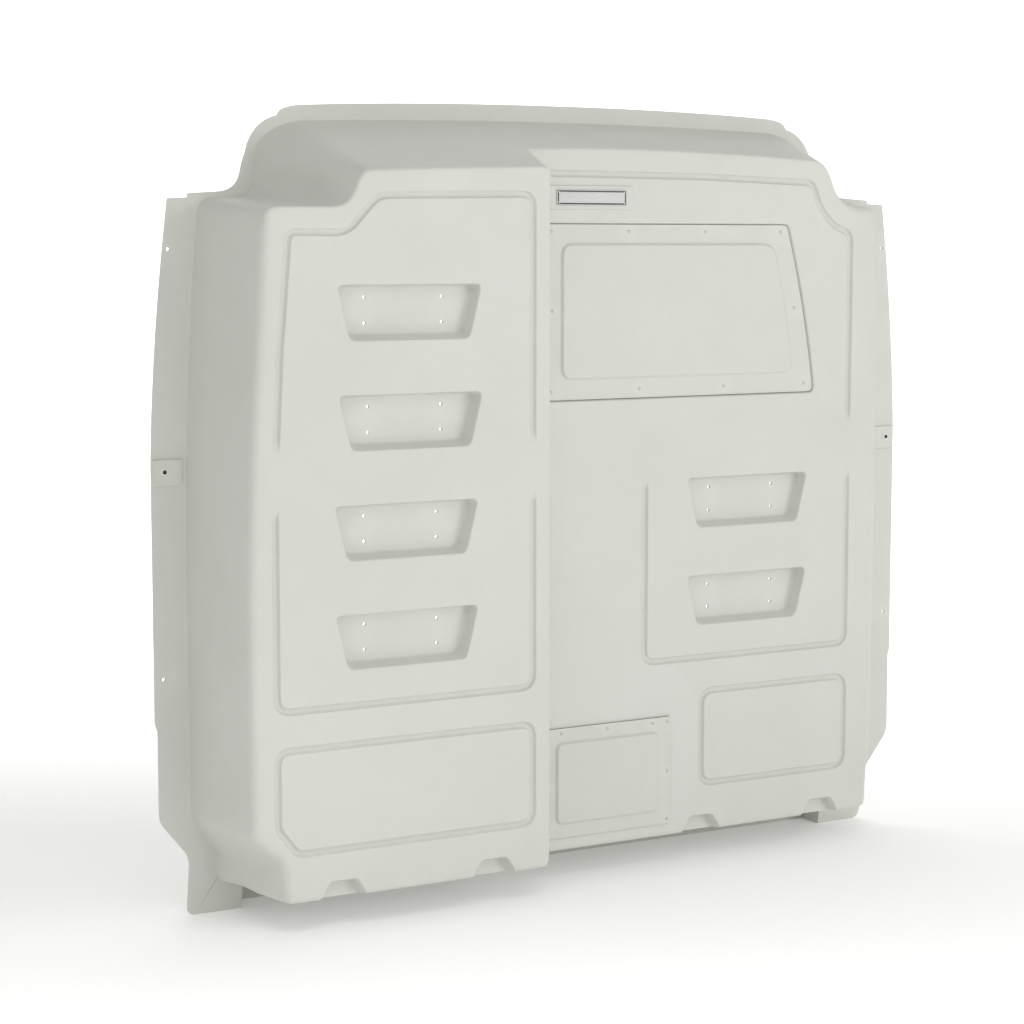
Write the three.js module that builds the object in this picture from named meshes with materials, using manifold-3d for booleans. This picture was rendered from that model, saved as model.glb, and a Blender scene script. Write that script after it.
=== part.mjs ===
// Moulded cab partition for a cargo van, seen from the cargo side.
// One hollow shell closes the van from wall to wall: a perimeter flange seats on the pillars and the roof bow,
// a deep bulge on the left clears the driver's seat, and a shallower panel on the right carries a blanked
// window and a blanked access opening, each a riveted cover on a flat gasket.
// Millimetres. X to the right, Y towards the cab, Z up, standing on the feet.
import * as THREE from 'three';
import { mergeVertices } from 'three/addons/utils/BufferGeometryUtils.js';
import Module from 'manifold-3d';

const wasm = await Module();
wasm.setup();

// ---------------------------------------------------------------- driving dimensions
const WALL = 5; // moulded wall
const GAP = 0.3; // between touching pieces
const PASS = 2; // how far a cutting tool runs past the face it cuts
const JOIN = 1; // how far behind a face an added wall starts, inside the skin
const CURVE_STEPS = 5; // straight pieces in each curved stretch of an outline
const CORNER_STEPS = 3; // and in each corner of a trapezoid
const SIDES = { hole: 10, rivet: 8, screw: 12, washer: 16 }; // of the round parts
const FAR = 900; // a distance beyond the shell's sides
const BEHIND = 30; // how far a tool runs behind the face it starts from
const OVERLAP = 20; // how far a cutting block runs past both depths
const SAME = 1e-6; // points closer than this are one point
const WELD = 1e-4; // and mesh corners closer than this are joined

const DEEP_Y = -208; // front of the driver-side bulge
const SHALLOW_Y = -116; // front of the passenger-side panel
const SILL_Y = 70; // front of the web that hangs between the feet
const FLOOR_Z = 58; // underside of the bulges, on the cargo floor
const FOOT_INNER_X = 637; // inner face of each foot
const STEP_ROOT_X = -120; // wall between the two depths, at its foot
const STEP_CREST_X = -131; // and at its crest
const ORIGIN_Y = 66.5; // from the middle of the depth to the flange's front face

// The flange leans back at the feet and at the roof bow: [height, set-back].
const LEAN = [[-10, 19], [117, 0], [1262, 0], [1345, 30], [1500, 30]];

// Outlines are lists of steps from the feet up to the crown, for the +X half: an end point with two numbers is
// a straight line, and one with four is a curve whose control point comes first.
const FLANGE_HALF = [
  [725, 0], [742, 0, 742, 17], [742, 92], [742, 108, 752, 121], [791, 170], [798, 180, 798, 194], [798, 338],
  [802.5, 352], [802.5, 800], [797, 1015, 765, 1255], [728, 1257], [727, 1264], [672, 1267.5],
  [642, 1269, 629, 1292], [623, 1304, 620, 1314], [609, 1336], [594, 1390, 547, 1401], [542, 1409],
  [535, 1416, 507, 1420], [300, 1432, 0, 1432],
];
const ROOT_HALF = [
  [692, FLOOR_Z], [694, 117], [740, 186], [741, 640], [738, 960, 712, 1228], [709, 1257, 684, 1257], [640, 1259],
  [606, 1262, 599, 1310], [590, 1378, 506, 1392], [250, 1401, 0, 1401],
];
const DEEP_HALF = [
  [650, FLOOR_Z], [655, 134], [709, 178], [711, 560], [706, 860, 677, 1222], [675, 1240, 656, 1240], [550, 1240],
  [520, 1241, 509, 1269], [499, 1302, 482, 1302], [320, 1309, 0, 1316],
];
const SHALLOW_HALF = [
  [656, FLOOR_Z], [659, 134], [662, 178], [666, 640], [667, 960, 661, 1232], [659, 1248, 640, 1249], [606, 1250],
  [572, 1250, 556, 1284], [541, 1335, 508, 1336], [250, 1351, 0, 1350],
];

// Trapezoid pockets for accessory brackets: middle of the pocket, its top edge, its screw pitch and its face.
const POCKET = { top: 277, bottom: 230, height: 95, depth: 24, corner: 12 };
const POCKET_DRAFT = { side: 7, top: 4, bottom: 10 };
const POCKETS = [
  { x: -408.5, top: 1110, pitch: 149, face: DEEP_Y },
  { x: -407, top: 924, pitch: 141, face: DEEP_Y },
  { x: -416, top: 737, pitch: 140, face: DEEP_Y },
  { x: -416, top: 550, pitch: 141, face: DEEP_Y },
  { x: 361, top: 740, pitch: 145, face: SHALLOW_Y },
  { x: 361, top: 554, pitch: 146, face: SHALLOW_Y },
];
const POCKET_HOLE = { radius: 3, rows: 44, belowTop: 43.5, shift: -2 };

// Recesses in the lower edge that clear the ribs of the cargo floor.
const NOTCH = { bottom: 90, top: 50, height: 32, depth: 20 };
const NOTCHES = [
  { x: -542, face: DEEP_Y },
  { x: -245, face: DEEP_Y },
  { x: 260, face: SHALLOW_Y },
  { x: 542, face: SHALLOW_Y },
];

// Stiffening grooves, as centre lines; a closed one ends where it starts.
const GROOVE = { half: 6, depth: 2 };
const GROOVES = [
  { face: DEEP_Y, path: [[-661, 832], [-653, 992], [-636, 1185], [-634, 1199, -619, 1198], [-556, 1197],
    [-528, 1196, -512, 1213], [-480, 1247], [-468, 1260, -446, 1260], [-190, 1264], [-167, 1265, -167, 1242], [-167, 832]] },
  { face: DEEP_Y, path: [[-664, 740], [-664, 418], [-664, 393, -639, 393], [-192, 393],
    [-167, 393, -167, 418], [-167, 744]] },
  { face: DEEP_Y, path: [[-664, 302], [-664, 326, -640, 326], [-191, 326], [-167, 326, -167, 302], [-167, 170],
    [-167, 146, -191, 146], [-618, 146], [-628, 146, -634, 153], [-658, 184], [-664, 190, -664, 202],
    [-664, 302]] },
  { face: SHALLOW_Y, path: [[-96, 1304], [250, 1302], [490, 1294], [506, 1294, 512, 1274],
    [532, 1220, 582, 1203], [597, 1198, 597, 1180], [596, 832]] },
  { face: SHALLOW_Y, path: [[128, 742], [128, 420], [128, 397, 151, 397], [572, 397], [596, 397, 596, 420],
    [596, 740]] },
  { face: SHALLOW_Y, path: [[258, 305], [258, 331, 284, 331], [570, 331], [596, 331, 596, 305], [596, 178],
    [596, 152, 570, 152], [284, 152], [258, 152, 258, 178], [258, 305]] },
];

// Window: a recess in the shallow panel, with an opening that the cover blanks.
const WINDOW_OUTLINE = [
  [-87, 903], [-87, 1206], [-87, 1216, -77, 1216], [439, 1216], [449, 1216, 452, 1208], [495, 1058, 514, 909],
  [515, 892, 502, 892], [-77, 892], [-87, 892, -87, 903],
];
const WINDOW_FIELD = [
  [-54, 953], [-54, 1157], [-54, 1179, -32, 1179], [392, 1179], [413, 1179, 421, 1161], [448, 1060, 462, 955],
  [463, 931, 440, 931], [-32, 931], [-54, 931, -54, 953],
];
const WINDOW = { recess: 9, slope: 3, clear: 3.6, seal: 7, opening: 8, sheet: 3, gasket: 1.5, raise: 5 };
const WINDOW_RIVETS = [
  [-74, 1200], [92, 1200], [261, 1200], [433, 1200], [467, 1056], [492, 911], [305, 911], [116, 911], [-74, 911],
  [-71, 1056],
];

// Access opening near the floor, with a cover laid on the face.
const ACCESS = { x: 45, z: 187.5, width: 281, height: 206, corner: 4, sheet: 2.5, gasket: 1, raise: 5 };
const ACCESS_FIELD = { width: 226, height: 155, corner: 16, opening: 10 };
const ACCESS_RIVETS = [
  [-88, 281], [-55, 281], [45, 281], [145, 281], [178, 281], [178, 186], [178, 94], [-88, 94], [-88, 186],
];

const RIVET = { head: 3.2, crown: 1.9, dome: 1.3, shank: 1.6, hole: 2, tail: 2.6, tip: 1, tailLength: 4 };
const FLANGE_HOLES = [[764.5, 1169], [784.5, 429]];
const FLANGE_HOLE_RADIUS = 3.3;
const SIDE_PAD = { x: 769, z: 788, width: 62, height: 46, corner: 3, raise: 4 };
const SIDE_SCREW = {
  x: 779, z: 789, hole: 2.3, shank: 1.9, length: 26, point: 4,
  head: 3.6, crown: 2.5, socket: 1.5, headHeight: 2.2, shoulder: 0.9,
};
const WASHER = { outer: 6.5, crown: 5.9, height: 1.2, rim: 0.5 };
const BADGE = { x: 7, z: 1261, width: 150, height: 30, corner: 4, thickness: 1.2 };
const BADGE_PAD = { x: 7, z: 1261, width: 178, height: 44, corner: 5, raise: 3 };

// ---------------------------------------------------------------- outlines in the XZ plane
function addStep(path, step) {
  if (step.length === 2) path.lineTo(...step);
  else path.quadraticCurveTo(...step);
}

/** The points of an outline given as steps, without a repeated last point. */
function trace(steps) {
  const path = new THREE.Path().moveTo(...steps[0]);
  steps.slice(1).forEach((step) => addStep(path, step));
  const points = path.getPoints(CURVE_STEPS);
  return points.filter((p, i) => i === 0 || p.distanceTo(points[i - 1]) > SAME);
}

/** A whole outline from its +X half: up the -X side, and down the +X side. */
function bothSides(leftHalf, rightHalf = leftHalf) {
  const left = trace(leftHalf).map((p) => new THREE.Vector2(-p.x, p.y));
  return [...left, ...trace(rightHalf).reverse().slice(1)];
}

/** The outline moved inwards by d, or outwards when d is negative. */
function inset(points, d) {
  const side = THREE.ShapeUtils.isClockWise(points) ? -1 : 1;
  return points.map((p, i) => {
    const before = p.clone().sub(points.at(i - 1)).normalize();
    const after = points[(i + 1) % points.length].clone().sub(p).normalize();
    const normal = new THREE.Vector2(-before.y - after.y, before.x + after.x).normalize();
    const across = new THREE.Vector2(-before.y, before.x);
    return p.clone().addScaledVector(normal, (side * d) / Math.max(normal.dot(across), 0.5));
  });
}

function between(a, b, share) {
  return a.map((p, i) => p.clone().lerp(b[i], share));
}

function roundedRectangle(x, z, width, height, corner) {
  const [w, h] = [width / 2, height / 2];
  return trace([
    [x - w, z - h + corner], [x - w, z + h - corner], [x - w, z + h, x - w + corner, z + h],
    [x + w - corner, z + h], [x + w, z + h, x + w, z + h - corner], [x + w, z - h + corner],
    [x + w, z - h, x + w - corner, z - h], [x - w + corner, z - h], [x - w, z - h, x - w, z - h + corner],
  ]).slice(0, -1);
}

/** A trapezoid standing on its bottom edge, with rounded corners. */
function trapezoid(x, bottomZ, topZ, bottomWidth, topWidth, corner) {
  const corners = [[-bottomWidth, bottomZ], [-topWidth, topZ], [topWidth, topZ], [bottomWidth, bottomZ]];
  const square = corners.map(([w, z]) => new THREE.Vector2(x + w / 2, z));
  const path = new THREE.Path();
  square.forEach((p, i) => {
    const from = p.clone().add(square.at(i - 1).clone().sub(p).setLength(corner));
    const to = p.clone().add(square[(i + 1) % 4].clone().sub(p).setLength(corner));
    if (i === 0) path.moveTo(from.x, from.y);
    else path.lineTo(from.x, from.y);
    path.quadraticCurveTo(p.x, p.y, to.x, to.y);
  });
  return path.getPoints(CORNER_STEPS);
}

function circle(x, z, radius) {
  const path = new THREE.Path().absarc(x, z, radius, 0, 2 * Math.PI);
  return path.getSpacedPoints(SIDES.hole).slice(0, -1);
}

// ---------------------------------------------------------------- solids
/** A closed mesh as a solid that can be joined and cut. */
function solid(geometry) {
  const bare = geometry.clone();
  bare.deleteAttribute('normal');
  bare.deleteAttribute('uv');
  const merged = mergeVertices(bare, WELD);
  return new wasm.Manifold(new wasm.Mesh({
    numProp: 3,
    vertProperties: Float32Array.from(merged.attributes.position.array),
    triVerts: Uint32Array.from(merged.index.array),
  }));
}

/** A closed body between two rings of the same number of points. */
function loft(back, front) {
  const flat = (points) => points.map((p) => new THREE.Vector2(p.x, p.z));
  if (THREE.ShapeUtils.isClockWise(flat(back))) return loft([...back].reverse(), [...front].reverse());
  const count = back.length;
  const index = [];
  for (const [a, b, c] of THREE.ShapeUtils.triangulateShape(flat(back), [])) index.push(a, c, b);
  for (const face of THREE.ShapeUtils.triangulateShape(flat(front), [])) index.push(...face.map((i) => i + count));
  for (let i = 0; i < count; i += 1) {
    const j = (i + 1) % count;
    index.push(i, j, i + count, j, j + count, i + count);
  }
  const geometry = new THREE.BufferGeometry().setFromPoints([...back, ...front]);
  geometry.setIndex(index);
  return solid(geometry);
}

function ring(points, y) {
  return points.map((p) => new THREE.Vector3(p.x, typeof y === 'function' ? y(p.y) : y, p.y));
}

/** An outline swept along Y from the front y to the back y. */
function prism(points, front, back) {
  return loft(ring(points, back), ring(points, front));
}

function box(x0, x1, y0, y1, z0, z1) {
  const block = new THREE.BoxGeometry(x1 - x0, y1 - y0, z1 - z0);
  return solid(block.translate((x0 + x1) / 2, (y0 + y1) / 2, (z0 + z1) / 2));
}

function unite(solids) {
  return solids.reduce((whole, next) => whole.add(next));
}

function meshGeometry(body) {
  const { vertProperties, triVerts } = body.getMesh();
  const geometry = new THREE.BufferGeometry();
  geometry.setAttribute('position', new THREE.BufferAttribute(vertProperties, 3));
  geometry.setIndex(new THREE.BufferAttribute(triVerts, 1));
  geometry.computeVertexNormals();
  return geometry;
}

// ---------------------------------------------------------------- the shell
/** How far the flange stands back at a height. */
function setBack(z) {
  const i = LEAN.findIndex(([height]) => height >= z);
  const [[z0, y0], [z1, y1]] = [LEAN[i - 1], LEAN[i]];
  return THREE.MathUtils.mapLinear(z, z0, z1, y0, y1);
}

/** The flange plate, sheared band by band so that it follows its lean. */
function flangePlate() {
  const flat = prism(bothSides(FLANGE_HALF), 0, WALL);
  const bands = LEAN.slice(1).map(([top], i) => {
    const band = flat.intersect(box(-FAR, FAR, -PASS, WALL + PASS, LEAN[i][0], top)).getMesh();
    for (let v = 0; v < band.vertProperties.length; v += 3) {
      band.vertProperties[v + 1] += setBack(band.vertProperties[v + 2]);
    }
    return new wasm.Manifold(band);
  });
  return unite(bands);
}

/** Everything on the driver's side of the step wall, whose face is moved by the wall's thickness inside. */
function driverSide(shift) {
  const top = LEAN.at(-1)[0];
  const section = (x) => [[-FAR, 0], [x - shift, 0], [x - shift, top], [-FAR, top]]
    .map(([px, pz]) => new THREE.Vector2(px, pz));
  const lean = ((STEP_ROOT_X - STEP_CREST_X) / (SHALLOW_Y - DEEP_Y)) * OVERLAP;
  const back = ring(section(STEP_ROOT_X + lean), SHALLOW_Y + OVERLAP);
  const front = ring(section(STEP_CREST_X - lean), DEEP_Y - OVERLAP);
  return loft(back, front);
}

/** The two bulges as one solid, or the hollow behind them when its faces are moved in by a thickness. */
function bulges(thickness) {
  const root = inset(bothSides(ROOT_HALF), thickness);
  const share = SHALLOW_Y / DEEP_Y;
  const rootHalf = trace(ROOT_HALF);
  const deepHalf = trace(DEEP_HALF);
  const mirrored = (half) => half.map((p) => new THREE.Vector2(-p.x, p.y));
  const middleLeft = mirrored(between(rootHalf, deepHalf, share));
  const middle = inset([...middleLeft, ...trace(SHALLOW_HALF).reverse().slice(1)], thickness);
  const closed = (half) => [...half, new THREE.Vector2(0, FLOOR_Z)];
  const leftMiddle = inset(closed(middleLeft), thickness);
  const leftFront = inset(closed(mirrored(deepHalf)), thickness);
  const back = (z) => setBack(z) + WALL;
  const base = loft(ring(root, back), ring(middle, SHALLOW_Y + thickness));
  const deep = loft(ring(leftMiddle, SHALLOW_Y + thickness), ring(leftFront, DEEP_Y + thickness));
  const front = base.add(deep.intersect(driverSide(thickness)));
  return thickness ? front.add(loft(ring(root, SILL_Y + 2 * WALL), ring(root, setBack))) : front;
}

/** The web between the feet, with the ledge above it and the return at each foot. */
function sill() {
  const outer = FOOT_INNER_X + WALL;
  return box(-outer, outer, 0, SILL_Y + WALL, 0, FLOOR_Z + WALL);
}

/** The room under the ledge, where the edge of the cargo floor goes. */
function floorRoom() {
  return box(-FOOT_INNER_X, FOOT_INNER_X, DEEP_Y - PASS, SILL_Y, -PASS, FLOOR_Z);
}

function pocketRings({ x, top, face }, grow) {
  const { height, depth, corner } = POCKET;
  const mouth = trapezoid(x, top - height, top, POCKET.bottom, POCKET.top, corner);
  const { side, top: head, bottom: foot } = POCKET_DRAFT;
  const floor = trapezoid(
    x, top - height + foot, top - head, POCKET.bottom - 2 * side, POCKET.top - 2 * side, corner,
  );
  const back = face + depth + grow;
  return loft(ring(inset(floor, -grow), back), ring(inset(mouth, -grow), face + (grow ? JOIN : -GAP)));
}

function pocketHoles({ x, top, pitch, face }) {
  const middle = top - POCKET_HOLE.belowTop;
  const holes = [-1, 1].flatMap((i) => [-1, 1].map((j) => (
    circle(x + POCKET_HOLE.shift + (i * pitch) / 2, middle + (j * POCKET_HOLE.rows) / 2, POCKET_HOLE.radius)
  )));
  return unite(holes.map((hole) => prism(hole, face + POCKET.depth - PASS, face + POCKET.depth + WALL + PASS)));
}

function notchBlock({ x, face }, grow) {
  const { bottom, top, height, depth } = NOTCH;
  const lean = (bottom - top) / height;
  const low = grow ? FLOOR_Z : FLOOR_Z - PASS;
  const outline = [
    [-(bottom + (FLOOR_Z - low) * lean) / 2 - grow, low], [-top / 2 - grow, FLOOR_Z + height + grow],
    [top / 2 + grow, FLOOR_Z + height + grow], [(bottom + (FLOOR_Z - low) * lean) / 2 + grow, low],
  ].map(([dx, z]) => new THREE.Vector2(x + dx, z));
  return prism(outline, grow ? face + JOIN : face - PASS, face + depth + grow);
}

/** A groove's outline, cut as the band on both sides of its centre line. */
function groove({ face, path }) {
  const line = trace(path);
  const closed = line[0].distanceTo(line.at(-1)) < SAME;
  const sweep = (points) => prism(points, face - PASS, face + GROOVE.depth);
  if (closed) {
    const loop = line.slice(0, -1);
    return sweep(inset(loop, -GROOVE.half)).subtract(sweep(inset(loop, GROOVE.half)));
  }
  const side = (points) => points.map((p, i) => {
    const along = points[Math.min(i + 1, points.length - 1)].clone().sub(points[Math.max(i - 1, 0)]).normalize();
    return p.clone().add(new THREE.Vector2(-along.y, along.x).multiplyScalar(GROOVE.half));
  });
  return sweep([...side(line), ...side([...line].reverse())]);
}

function windowCut(grow) {
  const mouth = trace(WINDOW_OUTLINE).slice(0, -1);
  const floor = inset(mouth, WINDOW.slope);
  const front = SHALLOW_Y + (grow ? JOIN : -GAP);
  return loft(ring(inset(floor, -grow), SHALLOW_Y + WINDOW.recess + grow), ring(inset(mouth, -grow), front));
}

function windowOpening() {
  return inset(trace(WINDOW_FIELD).slice(0, -1), WINDOW.opening);
}

function accessOpening() {
  const { width, height, corner, opening } = ACCESS_FIELD;
  return roundedRectangle(ACCESS.x, ACCESS.z, width - 2 * opening, height - 2 * opening, corner);
}

function openings() {
  const window = prism(windowOpening(), SHALLOW_Y, SHALLOW_Y + BEHIND);
  return window.add(prism(accessOpening(), SHALLOW_Y - PASS, SHALLOW_Y + WALL + PASS));
}

function rivetHoles(places, front, back) {
  return unite(places.map(([x, z]) => prism(circle(x, z, RIVET.hole), front, back)));
}

function flangeHoles() {
  const fixing = FLANGE_HOLES.map(([x, z]) => [x, z, FLANGE_HOLE_RADIUS]);
  const all = [...fixing, [SIDE_SCREW.x, SIDE_SCREW.z, SIDE_SCREW.hole]];
  const both = all.flatMap(([x, z, r]) => [circle(x, z, r), circle(-x, z, r)]);
  return unite(both.map((hole) => prism(hole, -SIDE_PAD.raise - PASS, WALL + PASS)));
}

function pads() {
  const side = [-1, 1].map((s) => prism(
    roundedRectangle(s * SIDE_PAD.x, SIDE_PAD.z, SIDE_PAD.width, SIDE_PAD.height, SIDE_PAD.corner),
    -SIDE_PAD.raise, PASS,
  ));
  const { x, z, width, height, corner, raise } = BADGE_PAD;
  const badge = prism(roundedRectangle(x, z, width, height, corner), SHALLOW_Y - raise, SHALLOW_Y + PASS);
  return unite([...side, badge]);
}

function shell() {
  const skin = flangePlate().add(bulges(0)).add(sill()).subtract(bulges(WALL)).subtract(floorRoom());
  const formed = skin
    .add(unite(POCKETS.map((pocket) => pocketRings(pocket, WALL))))
    .add(unite(NOTCHES.map((notch) => notchBlock(notch, WALL))))
    .add(windowCut(WALL))
    .add(pads());
  return formed
    .subtract(unite(POCKETS.map((pocket) => pocketRings(pocket, 0))))
    .subtract(unite(POCKETS.map(pocketHoles)))
    .subtract(unite(NOTCHES.map((notch) => notchBlock(notch, 0))))
    .subtract(unite(GROOVES.map(groove)))
    .subtract(windowCut(0))
    .subtract(openings())
    .subtract(rivetHoles([...WINDOW_RIVETS, ...ACCESS_RIVETS], SHALLOW_Y - PASS, SHALLOW_Y + BEHIND))
    .subtract(flangeHoles());
}

// ---------------------------------------------------------------- covers, gaskets and small parts
/** A flat sheet with a raised field: outlines of the sheet and the field, its front face, and its thickness. */
function coverSheet(outline, field, front, sheet, raise) {
  const shape = (inner) => loft(
    ring(inset(field, inner), front + sheet + (inner ? PASS : 0)),
    ring(inset(field, raise + inner), front - raise + inner),
  );
  return prism(outline, front, front + sheet).add(shape(0)).subtract(shape(sheet));
}

function windowParts() {
  const seat = SHALLOW_Y + WINDOW.recess - GAP;
  const outline = inset(trace(WINDOW_OUTLINE).slice(0, -1), WINDOW.clear);
  const field = trace(WINDOW_FIELD).slice(0, -1);
  const front = seat - WINDOW.gasket - GAP - WINDOW.sheet;
  const holes = rivetHoles(WINDOW_RIVETS, front - PASS, seat + PASS);
  const gasket = prism(inset(trace(WINDOW_OUTLINE).slice(0, -1), WINDOW.seal), seat - WINDOW.gasket, seat)
    .subtract(prism(windowOpening(), seat - 2 * WINDOW.gasket, seat + PASS)).subtract(holes);
  const cover = coverSheet(outline, field, front, WINDOW.sheet, WINDOW.raise).subtract(holes);
  return { cover, gasket, front, grip: SHALLOW_Y + WINDOW.recess + WALL - front };
}

function accessParts() {
  const seat = SHALLOW_Y - GAP;
  const { x, z, width, height, corner, sheet, raise } = ACCESS;
  const outline = roundedRectangle(x, z, width, height, corner);
  const field = roundedRectangle(x, z, ACCESS_FIELD.width, ACCESS_FIELD.height, ACCESS_FIELD.corner);
  const front = seat - ACCESS.gasket - GAP - sheet;
  const holes = rivetHoles(ACCESS_RIVETS, front - PASS, seat + PASS);
  const gasket = prism(outline, seat - ACCESS.gasket, seat)
    .subtract(prism(accessOpening(), seat - 2 * ACCESS.gasket, seat + PASS)).subtract(holes);
  const cover = coverSheet(outline, field, front, sheet, raise).subtract(holes);
  return { cover, gasket, front, grip: SHALLOW_Y + WALL - front };
}

/** A round part about the Y axis: [radius, y] from the front to the back. */
function turned(profile, sides) {
  return new THREE.LatheGeometry(profile.map((point) => new THREE.Vector2(...point)), sides);
}

/** A blind rivet that clamps a stack of the given thickness. */
function rivetGeometry(grip) {
  const { head, crown, dome, shank, tail, tip, tailLength } = RIVET;
  const behind = grip + GAP;
  return turned([
    [0, -dome - GAP], [crown, -dome - GAP], [head, -GAP], [shank, -GAP], [shank, behind], [tail, behind],
    [tip, behind + tailLength], [0, behind + tailLength],
  ], SIDES.rivet);
}

function screwGeometry() {
  const { head, crown, headHeight, shoulder, shank, length, point, socket } = SIDE_SCREW;
  return turned([
    [0, -shoulder], [socket, -shoulder], [socket, -headHeight], [crown, -headHeight], [head, -shoulder],
    [head, 0], [shank, 0], [shank, length - point], [0, length],
  ], SIDES.screw);
}

function washerGeometry() {
  const { outer, crown, height, rim } = WASHER;
  const { hole } = SIDE_SCREW;
  return turned([
    [hole, 0], [hole, -height], [crown, -height], [outer, -rim], [outer, 0], [hole, 0],
  ], SIDES.washer);
}

// ---------------------------------------------------------------- the assembly
const PLASTIC = [0xd9dad3, 0.55, 0]; // colour, roughness and metalness
const COVER = [0xd7d8d1, 0.55, 0];
const RUBBER = [0x2b2c2c, 0.9, 0];
const PAINTED_METAL = [0xc9cac4, 0.4, 0.3];
const BADGE_METAL = [0xb9bbb9, 0.35, 0.6];
const WASHER_PLASTIC = [0xe2e3dd, 0.5, 0];
const BLACK_STEEL = [0x3a3b3c, 0.4, 0.8];

const group = new THREE.Group();
group.position.y = ORIGIN_Y;

function place(name, geometry, [color, roughness, metalness], position = [0, 0, 0]) {
  const mesh = new THREE.Mesh(geometry, new THREE.MeshStandardMaterial({ color, roughness, metalness }));
  mesh.name = name;
  mesh.position.set(...position);
  group.add(mesh);
}

function placeRivets(prefix, places, front, grip) {
  places.forEach(([x, z], i) => {
    const name = `${prefix}_${String(i + 1).padStart(2, '0')}`;
    place(name, rivetGeometry(grip), PAINTED_METAL, [x, front, z]);
  });
}

place('bulkhead_shell', meshGeometry(shell()), PLASTIC);

const windowSet = windowParts();
place('window_cover', meshGeometry(windowSet.cover), COVER);
place('window_gasket', meshGeometry(windowSet.gasket), RUBBER);
placeRivets('window_rivet', WINDOW_RIVETS, windowSet.front, windowSet.grip);

const accessSet = accessParts();
place('access_cover', meshGeometry(accessSet.cover), COVER);
place('access_gasket', meshGeometry(accessSet.gasket), RUBBER);
placeRivets('access_rivet', ACCESS_RIVETS, accessSet.front, accessSet.grip);

const badge = roundedRectangle(BADGE.x, BADGE.z, BADGE.width, BADGE.height, BADGE.corner);
const badgeBack = SHALLOW_Y - BADGE_PAD.raise - GAP;
place('badge_plate', meshGeometry(prism(badge, badgeBack - BADGE.thickness, badgeBack)), BADGE_METAL);

for (const [side, sign] of [['left', -1], ['right', 1]]) {
  const seat = -SIDE_PAD.raise - GAP;
  const at = (y) => [sign * SIDE_SCREW.x, y, SIDE_SCREW.z];
  place(`side_washer_${side}`, washerGeometry(), WASHER_PLASTIC, at(seat));
  place(`side_screw_${side}`, screwGeometry(), BLACK_STEEL, at(seat - WASHER.height - GAP));
}

export default group;
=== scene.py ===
"""A moulded cargo van partition: a formed plastic shell with riveted covers, dressed around its CAD frame."""
import math

import bmesh
import bpy
import numpy as np
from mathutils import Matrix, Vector
from mathutils.geometry import delaunay_2d_cdt


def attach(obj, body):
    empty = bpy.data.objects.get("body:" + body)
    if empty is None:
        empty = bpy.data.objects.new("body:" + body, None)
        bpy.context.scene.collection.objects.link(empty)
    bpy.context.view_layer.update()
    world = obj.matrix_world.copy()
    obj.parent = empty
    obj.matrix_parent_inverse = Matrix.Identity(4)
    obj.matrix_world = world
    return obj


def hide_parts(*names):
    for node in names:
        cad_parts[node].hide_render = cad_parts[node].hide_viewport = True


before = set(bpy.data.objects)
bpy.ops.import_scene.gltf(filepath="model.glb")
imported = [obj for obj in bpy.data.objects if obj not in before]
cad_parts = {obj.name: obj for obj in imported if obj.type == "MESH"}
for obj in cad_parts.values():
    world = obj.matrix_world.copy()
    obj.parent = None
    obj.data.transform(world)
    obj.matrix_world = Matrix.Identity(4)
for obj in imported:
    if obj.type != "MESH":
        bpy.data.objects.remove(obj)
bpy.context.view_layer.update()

# Lengths are millimetres in the design's own coordinates: X to the right, Z up, and Y to the cab from the
# flange's face. MM and ORIGIN_Y turn them into the frame's metres.
MM = 0.001
ORIGIN_Y = 66.5
WALL = 5.0
GAP = 0.3  # between touching pieces
SPACING = 9.0  # of the points along an outline
SAME = 1e-6  # points closer than this are one point

# ------------------------------------------------------------------ the shell's faces and outlines
DEEP_Y, SHALLOW_Y, SILL_Y = -208.0, -116.0, 70.0
FLOOR_Z = 58.0
LEDGE_RISE = 1.2
FOOT_INNER_X = 637.0
FOOT_POINTS, SILL_SPACING = 7, 14  # points up each foot, and their distance along the sill web
STEP_ROOT_X, STEP_CREST_X = -120.0, -131.0
# [height, set-back] of the flange's face
LEAN = np.array([
    [-10, 19], [105, 0.8], [117, -1], [129, -1.5], [336, -1.5], [346, -0.75], [356, 0], [1250, 0],
    [1262, 1.5], [1274, 5], [1333, 27], [1345, 29.2], [1357, 30], [1500, 30],
], float)
FLANGE_EDGE = ((0.0, 1.5), (0.5, 0.5), (1.6, 0.0))  # its rounded rim, as [inset, set-back]
FLANGE_TOP_Z = 1262  # the side flanges end here, too narrow for a line across them
FLANGE_MARGIN, FLANGE_MARGIN_SHARE = 6, 0.45  # how far the lines across it stop from its edges
ROOF_Z = 1400  # a height at which the flange stands on the roof bow

# A step of 2 numbers is a line to that point; one of 4 is a quadratic curve, its control point first.
FLANGE_HALF = [
    [725, 0], [742, 0, 742, 17], [742, 92], [742, 108, 752, 121], [791, 170], [798, 180, 798, 194],
    [798, 338], [802.5, 352], [802.5, 800], [797, 1015, 765, 1255], [728, 1257], [727, 1264], [672, 1267.5],
    [642, 1269, 629, 1292], [623, 1304, 620, 1314], [609, 1336], [594, 1390, 547, 1401], [542, 1409],
    [535, 1416, 507, 1420], [300, 1432, 0, 1432],
]
ROOT_HALF = [
    [692, 58], [694, 117], [740, 186], [741, 640], [738, 960, 712, 1228], [709, 1257, 684, 1257],
    [640, 1259], [606, 1262, 599, 1310], [590, 1378, 506, 1392], [250, 1401, 0, 1401],
]
DEEP_HALF = [
    [650, 58], [655, 134], [709, 178], [711, 560], [706, 860, 677, 1222], [675, 1240, 656, 1240],
    [550, 1240], [520, 1241, 509, 1269], [499, 1302, 482, 1302], [320, 1309, 0, 1316],
]
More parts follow.
